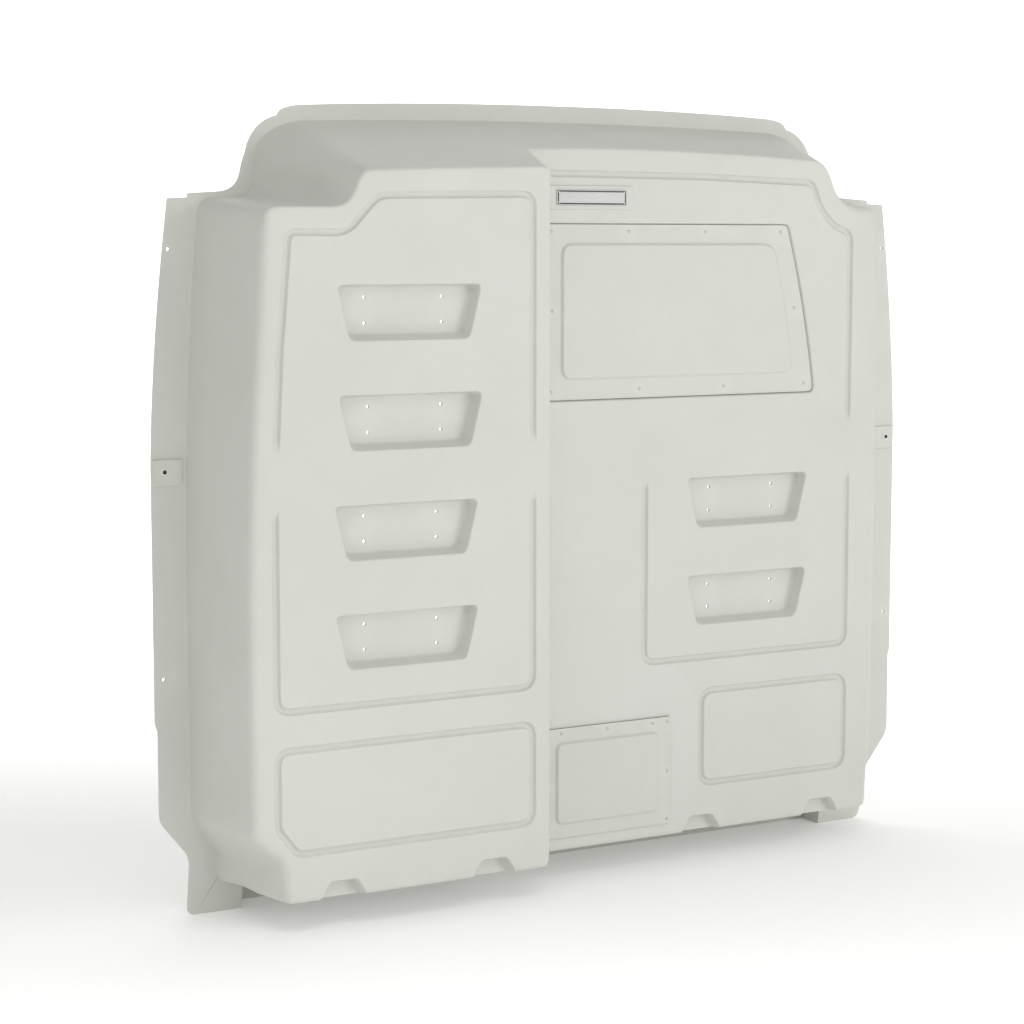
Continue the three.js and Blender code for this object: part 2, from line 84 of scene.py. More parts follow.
SHALLOW_HALF = [
    [656, 58], [659, 134], [662, 178], [666, 640], [667, 960, 661, 1232], [659, 1248, 640, 1249],
    [606, 1250], [572, 1250, 556, 1284], [541, 1335, 508, 1336], [250, 1351, 0, 1350],
]
# Sizes of the rounded edges, which change from side to top above these heights.
EDGE_SIDE, EDGE_TOP, EDGE_FOOT, EDGE_STEP, ROOT_FILLET, STEP_FILLET = 17.0, 5.5, 11.0, 7.0, 2.5, 4.0
DEEP_TOP_Z, SHALLOW_TOP_Z = 1225, 1252
OUTLINE_SOFTENING, SIZE_SOFTENING = 3, 12  # smoothing passes round the bulges
FLANK = {"in": 20, "forward": 120}  # the direction of the flanks where they leave the flange
STEP_FOOT = ((0, 0.0), (0.35, -0.3), (0.7, -1.0), (1.0, -2.2))  # its fillet, as [share, depth]
STEP_FADE, STEP_TUCK = 15, 0.3  # where that fillet fades out, and how far it reaches under the step

POCKET = {"top": 277, "bottom": 230, "height": 95, "depth": 24, "corner": 12}
POCKET_DRAFT = {"side": 7, "top": 4, "bottom": 10}
POCKETS = [(-408.5, 1110, 149, DEEP_Y), (-407, 924, 141, DEEP_Y), (-416, 737, 140, DEEP_Y),
           (-416, 550, 141, DEEP_Y), (361, 740, 145, SHALLOW_Y), (361, 554, 146, SHALLOW_Y)]
POCKET_HOLE = {"radius": 3, "rows": 44, "below_top": 43.5, "shift": -2}
POCKET_LIP, POCKET_FOOT = 2.5, 3.5  # roundings of its mouth and of its floor
TRAPEZOID_COUNTS = [6, 16, 6, 26, 6, 16, 6, 24]  # points in its corners and sides

NOTCH = {"bottom": 90, "top": 50, "height": 32, "depth": 20}
NOTCHES = [(-542, DEEP_Y), (-245, DEEP_Y), (260, SHALLOW_Y), (542, SHALLOW_Y)]
NOTCH_CORNER, NOTCH_LIFT = 7.0, 0.2  # of the line round it, which starts just above the ledge
NOTCH_REACH, NOTCH_TOP_Z = 60, 95  # half the width and the height within which a notch lies
# [distance inside the outline, depth]
NOTCH_SECTION = [[-2.5, 0], [-1, 0.8], [0.5, 4], [3, 16], [4.5, 19], [6.5, 20]]

# [half width, depth] from the edge of a groove to its middle
GROOVE_SECTION = [[7.5, 0], [6.3, 0.6], [5.0, 3.0], [3.6, 4.6], [1.6, 5.2]]
GROOVE_FADE = 22.0
GROOVES = [
    (DEEP_Y, [[-661, 832], [-653, 992], [-636, 1185], [-634, 1199, -619, 1198], [-556, 1197],
              [-528, 1196, -512, 1213], [-480, 1247], [-468, 1260, -446, 1260], [-190, 1264],
              [-167, 1265, -167, 1242], [-167, 832]]),
    (DEEP_Y, [[-664, 740], [-664, 418], [-664, 393, -639, 393], [-192, 393], [-167, 393, -167, 418],
              [-167, 744]]),
    (DEEP_Y, [[-664, 302], [-664, 326, -640, 326], [-191, 326], [-167, 326, -167, 302], [-167, 170],
              [-167, 146, -191, 146], [-618, 146], [-628, 146, -634, 153], [-658, 184],
              [-664, 190, -664, 202], [-664, 302]]),
    (SHALLOW_Y, [[-96, 1304], [250, 1302], [490, 1294], [506, 1294, 512, 1274], [532, 1220, 582, 1203],
                 [597, 1198, 597, 1180], [596, 832]]),
    (SHALLOW_Y, [[128, 742], [128, 420], [128, 397, 151, 397], [572, 397], [596, 397, 596, 420],
                 [596, 740]]),
    (SHALLOW_Y, [[258, 305], [258, 331, 284, 331], [570, 331], [596, 331, 596, 305], [596, 178],
                 [596, 152, 570, 152], [284, 152], [258, 152, 258, 178], [258, 305]]),
]

WINDOW_OUTLINE = [[-87, 903], [-87, 1206], [-87, 1216, -77, 1216], [439, 1216], [449, 1216, 452, 1208],
                  [495, 1058, 514, 909], [515, 892, 502, 892], [-77, 892], [-87, 892, -87, 903]]
WINDOW_FIELD = [[-54, 953], [-54, 1157], [-54, 1179, -32, 1179], [392, 1179], [413, 1179, 421, 1161],
                [448, 1060, 462, 955], [463, 931, 440, 931], [-32, 931], [-54, 931, -54, 953]]
WINDOW = {"recess": 9, "slope": 3, "clear": 2.9, "opening": 8, "sheet": 3, "gasket": 1.5, "raise": 5}
WINDOW_RIVETS = [(-74, 1200), (92, 1200), (261, 1200), (433, 1200), (467, 1056), (492, 911), (305, 911),
                 (116, 911), (-74, 911), (-71, 1056)]
ACCESS = {"x": 45, "z": 187.5, "width": 281, "height": 206, "corner": 4,
          "sheet": 2.5, "gasket": 1, "raise": 5}
ACCESS_FIELD = {"width": 226, "height": 155, "corner": 16, "opening": 10}
ACCESS_RIVETS = [(-88, 281), (-55, 281), (45, 281), (145, 281), (178, 281), (178, 186), (178, 94), (-88, 94),
                 (-88, 186)]
RIVET_HOLE, RIVET_HOLE_SIDES = 2.0, 12
RIVET_HEAD, RIVET_SHANK = 3.2, 1.6

FLANGE_HOLES = [(764.5, 1169), (784.5, 429)]
FLANGE_HOLE_RADIUS = 3.3
SIDE_PAD = {"x": 772.3, "z": 788, "width": 53, "height": 46, "corner": 3, "raise": 4, "slope": 1}
SIDE_SCREW = {"x": 779, "z": 789, "hole": 2.3, "head": 3.6, "shank": 1.9, "length": 26}
WASHER_HEIGHT = 1.2
BADGE = {"x": 7, "z": 1261, "width": 150, "height": 30, "corner": 4, "thickness": 1.2}
BADGE_PAD = {"x": 7, "z": 1261, "width": 178, "height": 44, "corner": 5, "raise": 3, "slope": 1.2}
# [at the foot, at the crest] of what is raised or sunk
WINDOW_ROUNDING, FIELD_ROUNDING, PAD_ROUNDING = (2.2, 1.8), (2.0, 1.6), (0.8, 0.8)
FIELD_SLOPE = 0.8  # how far a cover's raised field draws in, for each millimetre it stands out
COVER_EDGE = ((0.0, 0.8), (0.25, 0.2), (0.9, 0.0))  # a cover's rounded rim, as [inset, set-back]
BADGE_TRIM = 0.6  # how much smaller the finished plate is than its CAD
BADGE_BORDER = (2.3, 4.8)  # the printed line, from the plate's edge


# ------------------------------------------------------------------ outlines in the XZ plane
def quadratic(a, b, c, u):
    u = np.asarray(u)[:, None]
    return (1 - u) ** 2 * a + 2 * u * (1 - u) * b + u * u * c


def step_points(start, step, count, end_x=None):
    """The points of one step after its start, the last one where x reaches end_x if that is given."""
    start = np.array(start[-2:], float)
    step = np.array(step, float)
    middle = step[:2] if len(step) == 4 else (start + step) / 2
    last = 1.0
    if end_x is not None:
        tries = np.linspace(0, 1, 4001)
        last = tries[np.abs(quadratic(start, middle, step[-2:], tries)[:, 0] - end_x).argmin()]
    return quadratic(start, middle, step[-2:], np.linspace(0, last, count + 1)[1:])


def step_lengths(steps):
    return [math.dist(a[-2:], b[-2:]) for a, b in zip(steps, steps[1:])]


def outline(steps, counts=None, spacing=SPACING, end_x=None):
    """The points of an outline, with the same number in each step as counts says."""
    if counts is None:
        counts = [max(6 if len(s) == 4 else 1, math.ceil(n / spacing))
                  for s, n in zip(steps[1:], step_lengths(steps))]
    parts = [np.array([steps[0]], float)]
    for i, (start, step, count) in enumerate(zip(steps, steps[1:], counts)):
        parts.append(step_points(start, step, count, end_x if i == len(counts) - 1 else None))
    return np.vstack(parts)


def closed_outline(steps, spacing=SPACING):
    return outline(steps, spacing=spacing)[:-1]


def mirrored(points):
    return points * [-1, 1]


def soften(values, passes, closed=True):
    """Values around a ring, each averaged with its neighbours; the ends of an open run stay."""
    values = np.array(values, float)
    for _ in range(passes):
        mean = 0.25 * np.roll(values, 1, 0) + 0.5 * values + 0.25 * np.roll(values, -1, 0)
        if not closed:
            mean[0], mean[-1] = values[0], values[-1]
        values = mean
    return values


def right_normals(points, closed=True):
    """Normals on the right of the direction of travel, longer in a corner to keep offset edges parallel."""
    along = np.roll(points, -1, 0) - points
    if not closed:
        along[-1] = along[-2]
    along /= np.linalg.norm(along, axis=1)[:, None]
    before = np.roll(along, 1, 0)
    if not closed:
        before[0] = along[0]
    mean = before + along
    mean /= np.linalg.norm(mean, axis=1)[:, None]
    scale = np.clip((mean * along).sum(1), 0.6, 1)[:, None]
    return np.column_stack([mean[:, 1], -mean[:, 0]]) / scale


def inward(points):
    """Normals into a closed outline."""
    x, z = points.T
    turn = (x * np.roll(z, -1) - np.roll(x, -1) * z).sum()
    return right_normals(points) * (-1 if turn > 0 else 1)


def inset(points, distance):
    return points + inward(points) * distance


def rounded_rectangle(x, z, width, height, corner, spacing=SPACING):
    w, h = width / 2, height / 2
    return closed_outline([
        [x - w, z - h + corner], [x - w, z + h - corner], [x - w, z + h, x - w + corner, z + h],
        [x + w - corner, z + h], [x + w, z + h, x + w, z + h - corner], [x + w, z - h + corner],
        [x + w, z - h, x + w - corner, z - h], [x - w + corner, z - h], [x - w, z - h, x - w, z - h + corner],
    ], spacing)


def trapezoid(x, bottom_z, top_z, bottom, top, corner):
    """A trapezoid on its bottom edge, with rounded corners."""
    square = np.array([[x - bottom / 2, bottom_z], [x - top / 2, top_z], [x + top / 2, top_z],
                       [x + bottom / 2, bottom_z]])
    steps = []
    for i, p in enumerate(square):
        before, after = square[i - 1] - p, square[(i + 1) % 4] - p
        start = p + before / np.linalg.norm(before) * corner
        end = p + after / np.linalg.norm(after) * corner
        steps += [[*start], [*p, *end]]
    return outline([*steps, steps[0]], TRAPEZOID_COUNTS)[:-1]


def circle(x, z, radius, sides=20):
    turn = np.arange(sides) * 2 * math.pi / sides
    return np.column_stack([x + radius * np.cos(turn), z + radius * np.sin(turn)])


# ------------------------------------------------------------------ formed sheets
def at_depth(points, y):
    """Outline points as [x, y, z]."""
    return np.column_stack([points[:, 0], np.broadcast_to(y, len(points)), points[:, 1]])


def unit(vectors):
    return vectors / np.linalg.norm(vectors, axis=1)[:, None]


def rounded_edge(edge, one_side, other_side, size, steps):
    """The lines of a rounded edge, from size away down one side to size away along the other."""
    size = np.broadcast_to(size, len(edge))[:, None]
    a, b = edge + one_side * size, edge + other_side * size
    lines = []
    for u in np.linspace(0, 1, steps + 1):
        lines.append((1 - u) ** 2 * a + 2 * u * (1 - u) * edge + u * u * b)
    return lines


class Sheet:
    """A formed sheet seen from the front: lines of [x, y, z] points that its surface passes through."""

    def __init__(self, border, y):
        self.points, self.edges, self.holes, self.border = [], [], [], border
        if y is not None:
            self.line(at_depth(border, y))

    def line(self, points, closed=True):
        first, count = len(self.points), len(points)
        self.points.extend(points)
        last = count if closed else count - 1
        self.edges += [(first + i, first + (i + 1) % count) for i in range(last)]

    def lines(self, many, closed=True):
        for points in many:
            self.line(points, closed)

    def hole(self, points, y):
        self.line(at_depth(points, y))
        self.holes.append(points)

    def raised(self, foot, base_y, slope, height, foot_fillet, crest_fillet):
        """A field that stands out from the sheet, or is sunk in it when height is negative."""
        into = np.column_stack([inward(foot)[:, 0], np.zeros(len(foot)), inward(foot)[:, 1]])
        low = at_depth(foot, base_y)
        high = low + into * slope + [0, -height, 0]
        up = unit(high - low)
        self.lines(rounded_edge(low, -into, up, foot_fillet, 4))
        self.lines(rounded_edge(high, -up, into, crest_fillet, 4))

    def nearest(self, x, z):
        """The depth of the nearest point."""
        points = np.array(self.points)
        return points[np.hypot(points[:, 0] - x, points[:, 2] - z).argmin(), 1]

    def surface(self, missing=None):
        """Triangles over the whole border, without the holes."""
        points = np.array(self.points)
        flat = [Vector((p[0], p[2])) for p in points]
        verts, _, faces, origins, _, _ = delaunay_2d_cdt(flat, self.edges, [], 0, 1e-4)
        verts = np.array([(*v,) for v in verts])
        depth = np.zeros(len(verts))
        for i, origin in enumerate(origins):
            depth[i] = points[origin[0]][1] if origin else (missing or self.nearest)(*verts[i])
        faces = np.array(faces)
        centres = verts[faces].mean(1)
        keep = inside(centres, self.border)
        for hole in self.holes:
            keep &= ~inside(centres, hole)
        return np.column_stack([verts[:, 0], depth, verts[:, 1]]), faces[keep]


def inside(places, polygon):
    """Which places lie in the polygon."""
    result = np.zeros(len(places), bool)
    near = ((places >= polygon.min(0)) & (places <= polygon.max(0))).all(1)
    x, z = places[near].T
    crossings = np.zeros(near.sum(), int)
    for (x0, z0), (x1, z1) in zip(polygon, np.roll(polygon, -1, 0)):
        if z0 == z1:
            continue
        spans = (z0 > z) != (z1 > z)
        crossings += spans & (x < x0 + (z - z0) * (x1 - x0) / (z1 - z0))
    result[near] = crossings % 2 == 1
    return result


def new_object(name, verts, faces):
    """A mesh object from design coordinates."""
    mesh = bpy.data.meshes.new(name)
    world = (np.asarray(verts) + [0, ORIGIN_Y, 0]) * MM
    mesh.from_pydata(world.tolist(), [], [tuple(map(int, f)) for f in faces])
    obj = bpy.data.objects.new(name, mesh)
    bpy.context.collection.objects.link(obj)
    return obj


def keep_modifiers(obj):
    """Writes the modifiers' result into the mesh."""
    result = bpy.data.meshes.new_from_object(obj.evaluated_get(bpy.context.evaluated_depsgraph_get()))
    obj.modifiers.clear()
    obj.data = result


def shade(obj, sharp_degrees=38):
    obj.data.polygons.foreach_set("use_smooth", [True] * len(obj.data.polygons))
    obj.data.set_sharp_from_angle(angle=math.radians(sharp_degrees))
    weighted = obj.modifiers.new("even_normals", "WEIGHTED_NORMAL")
    weighted.keep_sharp = True
    weighted.weight = 80


def sheet_object(name, sheet, thickness, missing=None):
    verts, faces = sheet.surface(missing)
    # the front faces the viewer, along -Y
    a, b, c = (verts[faces[:, i]] for i in range(3))
    flip = np.cross(b - a, c - a)[:, 1] > 0
    faces[flip] = faces[flip][:, ::-1]
    obj = new_object(name, verts, faces)
    bm = bmesh.new()
    bm.from_mesh(obj.data)
    bmesh.ops.delete(bm, geom=[v for v in bm.verts if not v.link_faces], context="VERTS")
    bm.to_mesh(obj.data)
    bm.free()
    solid = obj.modifiers.new("thickness", "SOLIDIFY")
    solid.thickness = thickness * MM
    solid.offset = -1
    bpy.context.view_layer.update()
    keep_modifiers(obj)
    shade(obj)
    return obj


# ------------------------------------------------------------------ the shell
def set_back(z):
    """How far the flange's face stands back at a height."""
    return np.interp(z, LEAN[:, 0], LEAN[:, 1])


def ledge_z(y):
    """The underside of the bulges, which rises a little towards the front."""
    return FLOOR_Z + LEDGE_RISE * (SILL_Y - y) / (SILL_Y - DEEP_Y)


def half_counts():
    longest = np.max([step_lengths(s) for s in (ROOT_HALF, DEEP_HALF, SHALLOW_HALF)], axis=0)
    return [math.ceil(n / SPACING) for n in longest]


def bulge_outlines():
    """The root outline, the deep bulge's ring and the shallow bulge's run, each with its reference points."""
    counts = half_counts()
    top_share = (set_back(ROOF_Z) - SHALLOW_Y) / (set_back(ROOF_Z) - DEEP_Y)
    root_end = -(STEP_ROOT_X - top_share * STEP_CREST_X) / (1 - top_share)
    deep = mirrored(outline(DEEP_HALF, counts, end_x=-STEP_CREST_X))
    root_left = mirrored(outline(ROOT_HALF, counts, end_x=root_end))
    share = ((set_back(root_left[:, 1]) - SHALLOW_Y) / (set_back(root_left[:, 1]) - DEEP_Y))[:, None]
    middle = root_left + (deep - root_left) * share
    root_right = outline(ROOT_HALF, counts)[::-1]
    shallow = outline(SHALLOW_HALF, counts)[::-1]
    across = math.ceil(math.dist(middle[-1], shallow[0]) / SPACING) + 1
    shallow = np.vstack([np.linspace(middle[-1], shallow[0], across)[:-1], shallow])
    root_right = np.vstack([np.linspace(root_left[-1], root_right[0], across)[:-1], root_right])
    root_left[0, 1] = root_right[-1, 1] = ledge_z(set_back(FLOOR_Z))
    root = np.vstack([root_left, root_right[1:]])
    return root, deep, middle, shallow, root_right


def deep_ring(deep, middle):
    """The deep face's edge as a closed ring, with the same ring at the shallow face's depth."""
    low_deep, low_mid = ledge_z(DEEP_Y), ledge_z(SHALLOW_Y)
    deep, middle = deep.copy(), middle.copy()
    deep[0, 1], middle[0, 1] = low_deep, low_mid
    step = [(STEP_CREST_X, low_deep)]
    down = math.ceil((deep[-1, 1] - low_deep) / SPACING)
    along = math.ceil((deep[0, 0] - STEP_CREST_X) / -SPACING)
    front = np.vstack([deep, np.linspace(deep[-1], step[0], down + 1)[1:],
                       np.linspace(step[0], deep[0], along + 1)[1:-1]])
    back = np.vstack([middle, np.linspace(middle[-1], (STEP_ROOT_X, low_mid), down + 1)[1:],
                      np.linspace((STEP_ROOT_X, low_mid), middle[0], along + 1)[1:-1]])
    size = np.concatenate([np.full(len(deep), EDGE_SIDE), np.full(down, EDGE_STEP),
                           np.full(along - 1, EDGE_FOOT)])
    size[:len(deep)][front[:len(deep), 1] > DEEP_TOP_Z] = EDGE_TOP
    return soften(front, OUTLINE_SOFTENING), soften(back, OUTLINE_SOFTENING), soften(size, SIZE_SOFTENING)


def face_normals(points, closed):
    """Normals to the right of a run, as [x, 0, z]."""
    flat = right_normals(points, closed)
    return np.column_stack([flat[:, 0], np.zeros(len(flat)), flat[:, 1]])


def notch_shape(x, grow):
    """The open line round a notch, from the ledge up and down again, grow mm inside its mouth."""
    low = FLOOR_Z + NOTCH_LIFT
    half_low, half_top = NOTCH["bottom"] / 2, NOTCH["top"] / 2
    top = FLOOR_Z + NOTCH["height"] - grow
    lean = (half_low - half_top) / NOTCH["height"]
    side = math.hypot(1, lean)
    feet = half_low - grow * side
    head = feet - (top - FLOOR_Z) * lean
    corner = NOTCH_CORNER
    steps = [[x - feet, low], [x - head - corner * lean, top - corner],
             [x - head, top, x - head + corner, top], [x + head - corner, top],
             [x + head, top, x + head + corner * lean, top - corner], [x + feet, low]]
    return outline(steps, [8, 5, 8, 5, 8])


def notch_depth(places, x):
    """How deep a notch is at each place [x, z], from how far inside its mouth that is."""
    half_low, half_top = NOTCH["bottom"] / 2, NOTCH["top"] / 2
    lean = (half_low - half_top) / NOTCH["height"]
    from_side = (half_low - (places[:, 1] - FLOOR_Z) * lean - np.abs(places[:, 0] - x)) / math.hypot(1, lean)
    from_top = FLOOR_Z + NOTCH["height"] - places[:, 1]
    within = np.minimum(from_side, from_top)
    section = np.array(NOTCH_SECTION)
    return np.interp(within, section[:, 0], section[:, 1], left=0)


def groove_lines(sheet, face, steps):
    """A groove's rounded section along its centre line, fading out at open ends."""
    line = outline(steps)
    closed = math.dist(line[0], line[-1]) < SAME
    if closed:
        line = line[:-1]
        for half, depth in GROOVE_SECTION:
            for side in (1, -1):
                sheet.line(at_depth(line + right_normals(line) * side * half, face + depth))
        return
    travelled = np.concatenate([[0], np.cumsum(np.linalg.norm(np.diff(line, axis=0), axis=1))])
    fade = np.clip(np.minimum(travelled, travelled[-1] - travelled) / GROOVE_FADE, 0, 1)
    fade = fade * fade * (3 - 2 * fade)
    normals = right_normals(line, False)
    for half, depth in GROOVE_SECTION:
        sides = [at_depth(line + normals * side * half, face + depth * fade) for side in (1, -1)]
        caps = []
        for end, along in ((line[-1], line[-1] - line[-2]), (line[0], line[0] - line[1])):
            start = math.atan2(along[1], along[0])
            turns = start + np.radians([-60, -30, 0, 30, 60])
            caps.append(at_depth(end + half * np.column_stack([np.cos(turns), np.sin(turns)]), face))
        sheet.line(np.vstack([sides[0], caps[0], sides[1][::-1], caps[1]]))


def pocket_lines(sheet, x, top, pitch, face):
    low = top - POCKET["height"]
    mouth = trapezoid(x, low, top, POCKET["bottom"], POCKET["top"], POCKET["corner"])
    side = POCKET_DRAFT["side"]
    back = trapezoid(x, low + POCKET_DRAFT["bottom"], top - POCKET_DRAFT["top"], POCKET["bottom"] - 2 * side,
                     POCKET["top"] - 2 * side, POCKET["corner"])
    edge, floor = at_depth(mouth, face), at_depth(back, face + POCKET["depth"])
    into = inward(mouth)
    into = np.column_stack([into[:, 0], np.zeros(len(into)), into[:, 1]])
    down = unit(floor - edge)
    sheet.lines(rounded_edge(edge, -into, down, POCKET_LIP, 4))
    sheet.lines(rounded_edge(floor, -down, into, POCKET_FOOT, 4))
    middle = top - POCKET_HOLE["below_top"]
    for i in (-0.5, 0.5):
        for j in (-0.5, 0.5):
            hole_x, hole_z = x + POCKET_HOLE["shift"] + i * pitch, middle + j * POCKET_HOLE["rows"]
            sheet.hole(circle(hole_x, hole_z, POCKET_HOLE["radius"]), face + POCKET["depth"])


def shell_border():
    """The outside of the sheet: the flange's edge, its feet and the bottom of the sill web."""
    half = outline(FLANGE_HALF)
    foot = FOOT_INNER_X + 1
    left, right = mirrored(half), half[::-1][1:]
    feet = [(foot, 0), (FOOT_INNER_X, 0), (-FOOT_INNER_X, 0), (-foot, 0)]
    return np.vstack([left, right, feet]), len(left) + len(right)


def crossing_x(steps, height):
    """Where an outline's half, followed from the feet, first reaches a height."""
    x, z = outline(steps).T
    first = np.argmax((z[:-1] <= height) & (z[1:] > height))
    return np.interp(height, z[first:first + 2], x[first:first + 2])


def flange_lines(sheet, border, chain):
    edge = border[:chain]
    for inwards, back in FLANGE_EDGE:
        moved = edge + right_normals(edge, False) * inwards
        moved[0, 1] = moved[-1, 1] = inwards
        moved[0, 0], moved[-1, 0] = edge[0, 0], edge[-1, 0]
        sheet.line(at_depth(moved, set_back(moved[:, 1]) + back), False)
    for side in (-1, 1):
        for height in LEAN[LEAN[:, 0] != FLANGE_TOP_Z][1:-1, 0]:
            inner, outer = crossing_x(ROOT_HALF, height), crossing_x(FLANGE_HALF, height)
            margin = min(FLANGE_MARGIN, (outer - inner) * FLANGE_MARGIN_SHARE)
            ends = np.array([(side * (inner + margin), height), (side * (outer - margin), height)])
            sheet.line(at_depth(ends, set_back(height)), False)
        for x, z in FLANGE_HOLES:
            sheet.hole(circle(side * x, z, FLANGE_HOLE_RADIUS), set_back(z))
        pad = rounded_rectangle(side * SIDE_PAD["x"], SIDE_PAD["z"], SIDE_PAD["width"], SIDE_PAD["height"],
                                SIDE_PAD["corner"], 5)
        sheet.raised(pad, 0, SIDE_PAD["slope"], SIDE_PAD["raise"], *PAD_ROUNDING)
        sheet.hole(circle(side * SIDE_SCREW["x"], SIDE_SCREW["z"], SIDE_SCREW["hole"]), -SIDE_PAD["raise"])


def sill_lines(sheet):
    """The foot returns and the top of the web, a millimetre inside the feet's edges."""
    foot, ledge = FOOT_INNER_X + 1, ledge_z(set_back(FLOOR_Z))
    heights = np.linspace(0, ledge, FOOT_POINTS)
    for side in (-1, 1):
        inner = np.column_stack([np.full(FOOT_POINTS, side * foot), heights])
        sheet.line(at_depth(inner, set_back(heights)), False)
        web = np.linspace(0, FLOOR_Z, FOOT_POINTS)
        web = np.column_stack([np.full(FOOT_POINTS, side * FOOT_INNER_X), web])
        sheet.line(at_depth(web, SILL_Y), False)
    across = np.arange(-FOOT_INNER_X, foot, SILL_SPACING)
    sheet.line(at_depth(np.column_stack([across, np.full(len(across), FLOOR_Z)]), SILL_Y), False)


def root_lines(sheet, root):
    """The fillet where the bulges leave the flange, and the line under the ledge."""
    place = at_depth(root, set_back(root[:, 1]))
    inner = root + right_normals(root, False) * FLANK["in"]
    forward = np.full(len(root), -FLANK["forward"])
    into = unit(np.column_stack([inner[:, 0] - root[:, 0], forward, inner[:, 1] - root[:, 1]]))
    outward = -face_normals(root, False)
    outward[0, 2] = outward[-1, 2] = 0
    into[0, 2] = into[-1, 2] = 0
    sheet.lines(rounded_edge(place, outward, into, ROOT_FILLET, 4), False)
    across = np.arange(-root[-1, 0] + SPACING, root[-1, 0] - 5, SPACING)
    line = np.column_stack([across, np.full(len(across), root[0, 1])])
    line = np.vstack([root[:1], line, root[-1:]])
    sheet.line(at_depth(line, set_back(FLOOR_Z)), False)


def deep_lines(sheet, deep, middle):
    """The deep bulge, from just above the step's foot to its face."""
    front, back, size = deep_ring(deep, middle)
    edge, foot = at_depth(front, DEEP_Y), at_depth(back, SHALLOW_Y)
    into = inward(front)
    into = np.column_stack([into[:, 0], np.zeros(len(into)), into[:, 1]])
    rounding = rounded_edge(edge, unit(foot - edge), into, size, 6)
    first = foot + (rounding[0] - foot) * (STEP_FILLET / (SHALLOW_Y - DEEP_Y))
    sheet.lines([first, foot + (rounding[0] - foot) * 0.5, *rounding])


def shallow_lines(sheet, shallow, root_right):
    """The shallow bulge's edge, from the top of the step round to its foot, and the foot of the step."""
    low = (STEP_ROOT_X, ledge_z(SHALLOW_Y))
    shallow = shallow.copy()
    shallow[-1, 1] = low[1]
    along = math.ceil((shallow[-1, 0] - STEP_ROOT_X) / SPACING)
    foot = np.linspace(shallow[-1], low, along + 1)[1:]
    front = np.vstack([shallow, foot])
    size = np.concatenate([np.full(len(shallow), EDGE_SIDE), np.full(along, EDGE_FOOT)])
    size[:len(shallow)][shallow[:, 1] > SHALLOW_TOP_Z] = EDGE_TOP
    behind = np.vstack([at_depth(root_right, set_back(root_right[:, 1])), at_depth(foot, SILL_Y)])
    behind[-along:, 2] = FLOOR_Z
    front, behind = soften(front, OUTLINE_SOFTENING, False), soften(behind, OUTLINE_SOFTENING, False)
    edge = at_depth(front, SHALLOW_Y)
    down = unit(behind - edge)
    down[0, 0] = down[-1, 0] = 0
    into = face_normals(front, False)
    into[0], into[-1] = (0, 0, -1), (0, 0, 1)
    rounding = rounded_edge(edge, unit(down), into, soften(size, SIZE_SOFTENING, False), 6)
    sheet.lines(rounding, False)

    ends_top = np.array([line[0] for line in rounding])
    ends_low = np.array([line[-1] for line in rounding])[::-1]
    heights = np.arange(ends_low[0][2] + 8, ends_top[-1][2] - 4, SPACING)
    fade = np.clip(np.minimum(heights - heights[0], heights[-1] - heights) / STEP_FADE, 0, 1)
    for share, depth in STEP_FOOT:
        x = STEP_ROOT_X + STEP_FILLET * (1 - share) - STEP_TUCK * share
        place = np.column_stack([STEP_ROOT_X + (x - STEP_ROOT_X) * fade, SHALLOW_Y + depth * fade, heights])
        sheet.line(place[1:-1], False)
    sheet.line(ends_top, False)
    sheet.line(ends_low, False)


def opening_lines(sheet):
    """The window's recess and opening, the access opening, and the holes for the covers' rivets."""
    mouth = soften(closed_outline(WINDOW_OUTLINE), 1)
    sheet.raised(mouth, SHALLOW_Y, WINDOW["slope"], -WINDOW["recess"], *WINDOW_ROUNDING)
    seat = SHALLOW_Y + WINDOW["recess"]
    sheet.hole(inset(closed_outline(WINDOW_FIELD), WINDOW["opening"]), seat)
    for x, z in WINDOW_RIVETS:
        sheet.hole(circle(x, z, RIVET_HOLE, RIVET_HOLE_SIDES), seat)
    opening = ACCESS_FIELD["opening"]
    sheet.hole(rounded_rectangle(ACCESS["x"], ACCESS["z"], ACCESS_FIELD["width"] - 2 * opening,
                                 ACCESS_FIELD["height"] - 2 * opening, ACCESS_FIELD["corner"]), SHALLOW_Y)
    for x, z in ACCESS_RIVETS:
        sheet.hole(circle(x, z, RIVET_HOLE, RIVET_HOLE_SIDES), SHALLOW_Y)


def shell_sheet():
    border, chain = shell_border()
    sheet = Sheet(border, None)
    flange_lines(sheet, border, chain)
    feet = border[chain:]
    sheet.line(at_depth(feet[1:3], SILL_Y), False)
    for end in (feet[:1], feet[3:]):
        sheet.line(at_depth(end, set_back(0)), False)
    sill_lines(sheet)
    root, deep, middle, shallow, root_right = bulge_outlines()
    root_lines(sheet, np.vstack([root[:1], soften(root[1:-1], 1, False), root[-1:]]))
    deep_lines(sheet, deep, middle)
    shallow_lines(sheet, shallow, root_right)
    for pocket in POCKETS:
        pocket_lines(sheet, *pocket)
    for face, steps in GROOVES:
        groove_lines(sheet, face, steps)
    opening_lines(sheet)
    pad = rounded_rectangle(BADGE_PAD["x"], BADGE_PAD["z"], BADGE_PAD["width"], BADGE_PAD["height"],
                            BADGE_PAD["corner"], 5)
    sheet.raised(pad, SHALLOW_Y, BADGE_PAD["slope"], BADGE_PAD["raise"], *PAD_ROUNDING)
    cut_notches(sheet)
    return sheet


